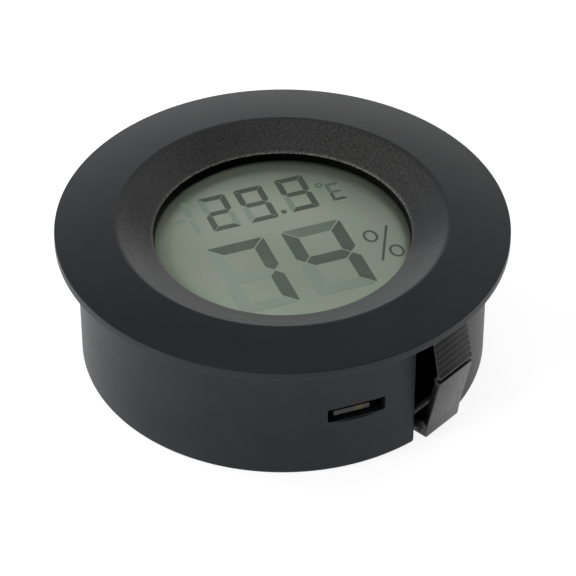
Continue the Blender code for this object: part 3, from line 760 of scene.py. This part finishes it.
def make_display(film):
    """Display face with its lit, half-lit and unlit segments."""
    half, cut_at = FACE_HALF_WIDTH, FACE_HALF_WIDTH - FACE_CORNER
    octagon = [(-half, -cut_at), (-cut_at, -half), (cut_at, -half), (half, -cut_at),
               (half, cut_at), (cut_at, half), (-cut_at, half), (-half, cut_at)]
    face = new_piece("display_face", prism(octagon, DISPLAY_Z - 0.2 * MM, DISPLAY_Z), film)
    add_bevel(face, 0.04 * MM, 2)
    finish_piece(face)
    seat(face, "case", "display_film", "front_polarizer")

    # Digits in millimetres: left and right edges, low and high edges of the small ones, and
    # the letters of the segments that are on
    big = ((-8.0, -1.75, "abc"), (0.16, 6.6, "fgbc"))
    small = ((-6.1, -3.1, 3.6, 9.25, "abged"), (-2.1, 1.0, 3.6, 9.3, "abcdfg"),
             (2.5, 5.6, 3.8, 9.45, "abcdfg"))
    lit, half_lit, faint = [], [], []
    for left, right, on in big:
        for letter, outline in digit_shapes(left, right, -9.85, 1.1, 1.42, 0.11).items():
            if letter in on:
                lit.append(outline)
            elif left > 0 and letter == "a":
                half_lit.append(outline)
            else:
                faint.append(outline)
    for left, right, low, high, on in small:
        for letter, outline in digit_shapes(left, right, low, high, 0.66, 0.05).items():
            (lit if letter in on else faint).append(outline)
    lit.append([(1.46, 3.95), (2.0, 3.95), (2.0, 4.47), (1.46, 4.47)])
    unit = digit_shapes(7.25, 8.85, 4.1, 7.0, 0.36, 0.03)
    lit += [unit[letter] for letter in "ed"]
    half_lit += [unit[letter] for letter in "afg"]
    lit.append(bar((10.8, -1.6), (8.3, -6.8), 0.27))
    lit_rings = [ring((8.6, -2.7), 0.78, 1.0, 0.27), ring((10.26, -5.8), 0.78, 1.0, 0.27)]
    half_rings = [ring((6.7, 7.1), 0.42, 0.42, 0.2, 20)]
    faint += [bar((-7.65, 9.3), (-7.65, 6.7), 0.66), bar((-7.65, 6.2), (-7.65, 3.8), 0.66),
              bar((-9.6, 6.4), (-8.3, 6.4), 0.5)]
    ink_top = DISPLAY_Z + INK_THICKNESS
    tone = segment_ink("segment_lit", (0.118, 0.150, 0.122), (0.142, 0.172, 0.140))
    half_tone = segment_ink("segment_half_lit", (0.196, 0.250, 0.208), (0.216, 0.270, 0.224))
    ghost_tone = segment_ink("segment_unlit", (0.296, 0.372, 0.302), (0.316, 0.384, 0.312))
    flat_inks("segments_unlit", faint, [], DISPLAY_Z, ink_top, ghost_tone)
    flat_inks("segments_half_lit", half_lit, half_rings, DISPLAY_Z, ink_top, half_tone)
    flat_inks("segments_lit", lit, lit_rings, DISPLAY_Z, ink_top, tone)


# ---------------------------------------------------------------- rear and inner pieces

def refine_node(name, material, bevel=0.0, segments=2):
    """A better finish on a node whose shape already fits, with its sharp edges eased."""
    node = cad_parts[name]
    node.data.materials.clear()
    node.data.materials.append(material)
    if bevel:
        weld = node.modifiers.new("Weld", "WELD")
        weld.merge_threshold = 0.000002
        add_bevel(node, bevel, segments, 40.0)
        smooth = node.modifiers.new("Normals", "WEIGHTED_NORMAL")
        smooth.keep_sharp = True


def screw_head(name, node, head_radius, shank_radius, material):
    """A screw with a domed head, a cross recess and a thread of rings."""
    low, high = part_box(node)
    middle = (low + high) / 2
    head_top = low.z + 0.75 * MM
    outline = [(0.0, low.z, 0), (head_radius * 0.55, low.z, 0.4 * MM),
               (head_radius, low.z + 0.28 * MM, 0.15 * MM),
               (head_radius, head_top - 0.1 * MM, 0.08 * MM),
               (shank_radius, head_top, 0.08 * MM)]
    height = head_top + 0.2 * MM
    while height < high.z - 0.6 * MM:
        outline += [(shank_radius, height, 0), (shank_radius * 0.78, height + 0.18 * MM, 0)]
        height += 0.36 * MM
    outline += [(0.0, high.z, 0)]
    piece = lathe(name, rounded(outline), 40, material)
    reach, half = head_radius * 0.52, head_radius * 0.13
    arm = ((half, -half), (reach, -half), (reach, half))
    points = []
    for quarter in range(4):
        turn = Matrix.Rotation(math.radians(90.0 * quarter), 2)
        points += [turn @ Vector(corner) for corner in arm]
    cut(piece, prism(points, low.z - 0.5 * MM, low.z + 0.42 * MM))
    piece.data.transform(Matrix.Translation((middle.x, middle.y, 0.0)))
    return piece


def make_screws(material):
    """Cover and board screws."""
    for kind, count, head_radius, shank_radius in (("cover_screw", 3, 1.5 * MM, 0.55 * MM),
                                                   ("board_screw", 2, 1.1 * MM, 0.4 * MM)):
        for number in range(1, count + 1):
            node = f"{kind}_{number}"
            piece = screw_head(f"{node}_piece", node, head_radius, shank_radius, material)
            seat(piece, "case", "steel", node)


def make_button(material):
    """Push button with a dished, softly rounded face."""
    low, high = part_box("unit_button")
    middle = (low + high) / 2
    outline = rounded([
        (0.0, high.z, 0), (1.5 * MM, high.z, 0.15 * MM), (1.5 * MM, 2.8 * MM, 0),
        (2.2 * MM, 2.8 * MM, 0.1 * MM), (2.2 * MM, 2.1 * MM, 0.1 * MM), (1.5 * MM, 2.1 * MM, 0),
        (1.5 * MM, low.z, 0.25 * MM), (1.0 * MM, low.z, 0.4 * MM), (0.0, low.z + 0.12 * MM, 0),
    ])
    piece = lathe("button_piece", outline, 64, material)
    piece.data.transform(Matrix.Translation((middle.x, middle.y, 0.0)))
    finish_piece(piece)
    seat(piece, "button", "grey_plastic", "unit_button")


def make_sensor(material):
    """Sensor plate behind the slot, with a low nose that stands in the slot."""
    low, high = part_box("humidity_sensor")
    plate = (Vector((low.x, SENSOR_FRONT_Y, low.z)), high)
    nose = (Vector((-2.35 * MM, low.y, 6.85 * MM)),
            Vector((1.5 * MM, SENSOR_FRONT_Y + 0.1 * MM, 7.55 * MM)))
    shape = bmesh.new()
    for first, last in (plate, nose):
        block = bmesh.ops.create_cube(shape, size=1.0)["verts"]
        bmesh.ops.scale(shape, vec=last - first, verts=block)
        bmesh.ops.translate(shape, vec=(first + last) / 2, verts=block)
    mesh = bpy.data.meshes.new("sensor")
    shape.to_mesh(mesh)
    shape.free()
    piece = new_piece("sensor_piece", mesh, material)
    add_bevel(piece, 0.10 * MM, 3)
    finish_piece(piece)
    seat(piece, "case", "sensor", "humidity_sensor")


def make_inner_pieces(steel):
    """Finish the CAD nodes that keep their shape."""
    cover = cover_plastic()
    black = speckled("black_resin", (0.012, 0.012, 0.013), (0.022, 0.022, 0.024),
                     0.0004, 0.25, 0.4)
    refine_node("rear_cover", cover, 0.10 * MM)
    refine_node("battery_door", cover, 0.10 * MM)
    refine_node("display_frame", speckled("frame_plastic", (0.016, 0.016, 0.017),
                                          (0.024, 0.024, 0.025), 0.0003, 0.45, 0.6), 0.08 * MM)
    refine_node("circuit_board", solder_mask(), 0.04 * MM)
    glass = clear_glass()
    refine_node("lcd_front_glass", glass, 0.05 * MM)
    refine_node("lcd_rear_glass", glass, 0.05 * MM)
    refine_node("rear_reflector", speckled("reflector_film", (0.38, 0.40, 0.36), (0.46, 0.48, 0.43),
                                           0.0002, 0.3, 0.45), 0.03 * MM)
    refine_node("contact_strip", speckled("strip_rubber", (0.030, 0.030, 0.032), (0.25, 0.22, 0.20),
                                          0.0002, 0.6, 0.8), 0.05 * MM)
    refine_node("controller_blob", black)
    refine_node("thermistor", black)
    for name in ("resistor_1", "resistor_2"):
        refine_node(name, black, 0.05 * MM)
    clay = speckled("capacitor_ceramic", (0.30, 0.20, 0.10), (0.40, 0.28, 0.15),
                    0.0003, 0.4, 0.55)
    for name in ("capacitor_1", "capacitor_2"):
        refine_node(name, clay, 0.05 * MM)
    refine_node("crystal", steel, 0.10 * MM)
    refine_node("unit_switch", steel, 0.10 * MM)
    for name in ("button_cell_1", "button_cell_2"):
        refine_node(name, steel, 0.12 * MM)
    plated = nickel("contact_plate", (0.62, 0.58, 0.46))
    for name in ("contact_positive", "contact_negative", "contact_bridge"):
        refine_node(name, plated, 0.04 * MM)


# ---------------------------------------------------------------- stage

FLOOR_GLOW = 0.88
BACKDROP_STRENGTH = 0.01
SOFTBOXES = (                      # bearing and rise in degrees, size in metres, power in watts
    ("rear_low", (0.0, 10.0), (0.98, 0.26), 2.32),
    ("rear_high", (0.0, 25.0), (0.98, 0.26), 0.95),
    ("left_key", (-65.0, 20.0), (0.50, 0.35), 5.65),
    ("right_high", (50.0, 45.0), (0.50, 0.30), 1.23),
    ("overhead", (0.0, 80.0), (0.60, 0.60), 1.45),
    ("front_left", (-120.0, 25.0), (0.60, 0.40), 5.2),
    ("front_right", (120.0, 25.0), (0.60, 0.40), 0.35),
)


def make_stage():
    """White sweep, soft lights round a rear softbox, and the camera."""
    shape = bmesh.new()
    bmesh.ops.create_grid(shape, x_segments=1, y_segments=1, size=4.0)
    mesh = bpy.data.meshes.new("floor")
    shape.to_mesh(mesh)
    shape.free()
    floor = new_piece("floor", mesh, floor_white())
    floor.location.z = -0.05 * MM

    world = bpy.data.worlds.new("studio")
    bpy.context.scene.world = world
    world.use_nodes = True
    backdrop = world.node_tree.nodes["Background"]
    backdrop.inputs["Color"].default_value = (1.0, 1.0, 1.0, 1.0)
    backdrop.inputs["Strength"].default_value = BACKDROP_STRENGTH

    away = Vector((-math.sin(VIEW_AZIMUTH), math.cos(VIEW_AZIMUTH), 0.0))
    right = Vector((math.cos(VIEW_AZIMUTH), math.sin(VIEW_AZIMUTH), 0.0))
    for name, bearing, size, power in SOFTBOXES:
        add_area(name, away, right, bearing, size, power)

    back = -away * math.cos(VIEW_ELEVATION) + Vector((0, 0, math.sin(VIEW_ELEVATION)))
    up = right.cross(-back)
    target = Vector((0, 0, RIM_TOP_Z))
    camera_data = bpy.data.cameras.new("camera")
    camera_data.lens = CAMERA_LENS
    camera_data.sensor_width = CAMERA_SENSOR
    camera_data.clip_start = 0.01
    camera = bpy.data.objects.new("camera", camera_data)
    bpy.context.scene.collection.objects.link(camera)
    camera.location = target + back * CAMERA_DISTANCE
    aim = target - up * AIM_DOWN + right * AIM_RIGHT
    camera.rotation_euler = (aim - camera.location).to_track_quat("-Z", "Y").to_euler()
    bpy.context.scene.camera = camera
    bpy.context.scene.view_settings.view_transform = "Standard"


def add_area(name, away, right, bearing, size, power):
    """A soft light a metre off, facing the object, at a bearing from straight behind it."""
    turn, rise = (math.radians(angle) for angle in bearing)
    level = away * math.cos(turn) + right * math.sin(turn)
    place = level * math.cos(rise) + Vector((0, 0, math.sin(rise)))
    light = bpy.data.lights.new(name, "AREA")
    light.shape = "RECTANGLE"
    light.size, light.size_y = size
    light.energy = power
    lamp = bpy.data.objects.new(name, light)
    bpy.context.scene.collection.objects.link(lamp)
    lamp.location = place
    lamp.rotation_euler = (-place).to_track_quat("-Z", "Y").to_euler()


def main():
    """Build every piece, then the stage."""
    steel = nickel()
    make_housing(housing_plastic())
    make_clips(clip_plastic())
    make_display(display_film())
    make_screws(steel)
    make_button(button_plastic())
    make_sensor(sensor_ceramic())
    make_inner_pieces(steel)
    make_stage()


main()
